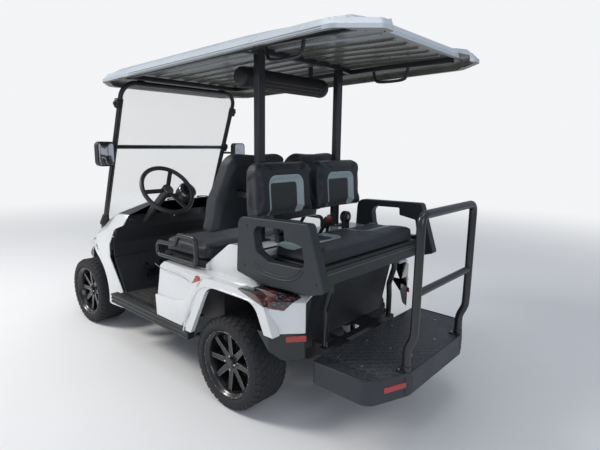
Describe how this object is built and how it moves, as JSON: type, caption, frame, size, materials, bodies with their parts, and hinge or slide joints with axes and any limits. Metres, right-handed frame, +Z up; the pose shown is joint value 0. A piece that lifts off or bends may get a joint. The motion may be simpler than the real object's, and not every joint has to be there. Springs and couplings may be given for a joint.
{
  "type": "golf cart",
  "caption": "Open golf cart with a long roof on posts, a front bench, a fold-over rear bench, a rear footplate with a grab bar, and steered front wheels.",
  "frame": {"origin": "on the ground, midway along and across the cart", "axes": "+X forward, +Y to the left, the driver's side, +Z up"},
  "size_m": [2.858, 1.222, 1.7901],
  "materials": {
    "body_white": "glossy pearl",
    "black_plastic": "fine grain",
    "dash_plastic": "satin",
    "roof_plastic": "satin",
    "frame_paint": "satin",
    "tube_paint": "powder coat",
    "vinyl": "soft grain",
    "clear_pane": "clear",
    "tail_red": "lens",
    "lamp_clear": "lens",
    "tyre_rubber": "worn satin",
    "rim_paint": "gloss with machined faces",
    "axle_steel": "painted, dusty",
    "pack_case": "plain"
  },
  "bodies": {
    "chassis": {"frame": "frame_paint", "floor_pan": "black_plastic", "sill_trims": "black_plastic", "rear_body": "body_white", "tail_lamps": "tail_red", "rear_bumper": "black_plastic", "front_cowl": "body_white", "headlamps": "lamp_clear", "front_bumper": "black_plastic", "dashboard": "dash_plastic", "roof": "roof_plastic", "windshield_frame": "tube_paint", "windshield_glass": "clear_pane", "roof_rails": "tube_paint", "roof_grips": "tube_paint", "roof_posts": "tube_paint", "seat_back_brackets": "tube_paint", "sound_bar": "black_plastic", "steering_column": "dash_plastic", "pedals": "tube_paint", "rear_axle": "axle_steel", "front_suspension": "axle_steel", "battery_pack": "pack_case", "front_seat_base": "black_plastic", "front_cushion": "vinyl", "front_seat_backs": "vinyl", "hip_restraints": "tube_paint", "rear_seat_tray": "black_plastic", "rear_seat_backs": "vinyl", "rear_armrests": "black_plastic", "footplate": "black_plastic", "grab_bar": "tube_paint", "rear_seat_frame": "tube_paint", "rear_enclosure": "black_plastic", "mirrors": "black_plastic"},
    "wheel_rear_left": {"rim_rear_left": "rim_paint", "tyre_rear_left": "tyre_rubber"},
    "wheel_rear_right": {"rim_rear_right": "rim_paint", "tyre_rear_right": "tyre_rubber"},
    "wheel_front_left": {"rim_front_left": "rim_paint", "tyre_front_left": "tyre_rubber"},
    "wheel_front_right": {"rim_front_right": "rim_paint", "tyre_front_right": "tyre_rubber"},
    "steer_knuckle_left": {"knuckle_left": "axle_steel"},
    "steer_knuckle_right": {"knuckle_right": "axle_steel"},
    "steer_rod": {"tie_rod": "axle_steel"},
    "hand_wheel": {"steering_wheel": "dash_plastic"},
    "rear_seat": {"rear_seat_board": "black_plastic", "rear_cushion": "vinyl"}
  },
  "joints": [
    {"name": "spin_rear_left", "type": "hinge", "parent": "chassis", "child": "wheel_rear_left", "pos_m": [-0.555, 0.477, 0.2375], "axis": [0, 1, 0], "continuous": true},
    {"name": "spin_rear_right", "type": "hinge", "parent": "chassis", "child": "wheel_rear_right", "pos_m": [-0.555, -0.477, 0.2375], "axis": [0, 1, 0], "continuous": true},
    {"name": "steer_left", "type": "hinge", "parent": "chassis", "child": "steer_knuckle_left", "pos_m": [1.088, 0.36, 0.2375], "axis": [0, 0, 1], "range_deg": [-28, 28]},
    {"name": "steer_right", "type": "hinge", "parent": "chassis", "child": "steer_knuckle_right", "pos_m": [1.088, -0.36, 0.2375], "axis": [0, 0, 1], "range_deg": [-28, 28]},
    {"name": "spin_front_left", "type": "hinge", "parent": "steer_knuckle_left", "child": "wheel_front_left", "pos_m": [1.088, 0.442, 0.2375], "axis": [0, 1, 0], "continuous": true},
    {"name": "spin_front_right", "type": "hinge", "parent": "steer_knuckle_right", "child": "wheel_front_right", "pos_m": [1.088, -0.442, 0.2375], "axis": [0, 1, 0], "continuous": true},
    {"name": "tie_rod_pivot", "type": "hinge", "parent": "steer_knuckle_left", "child": "steer_rod", "pos_m": [0.993, 0.31, 0.1585], "axis": [0, 0, 1], "range_deg": [-33, 33]},
    {"name": "hand_wheel_turn", "type": "hinge", "parent": "chassis", "child": "hand_wheel", "pos_m": [0.372, 0.285, 1.028], "axis": [-0.788, 0, 0.6157], "range_deg": [-350, 350]},
    {"name": "rear_seat_flip", "type": "hinge", "parent": "chassis", "child": "rear_seat", "pos_m": [-1.052, 0, 0.8033], "axis": [0, -1, 0], "range_deg": [0, 180]}
  ],
  "couplings": [
    {"joint": "steer_right", "follows": "steer_left", "ratio": 1},
    {"joint": "tie_rod_pivot", "follows": "steer_left", "ratio": -1.152},
    {"joint": "hand_wheel_turn", "follows": "steer_left", "ratio": 12.5}
  ]
}
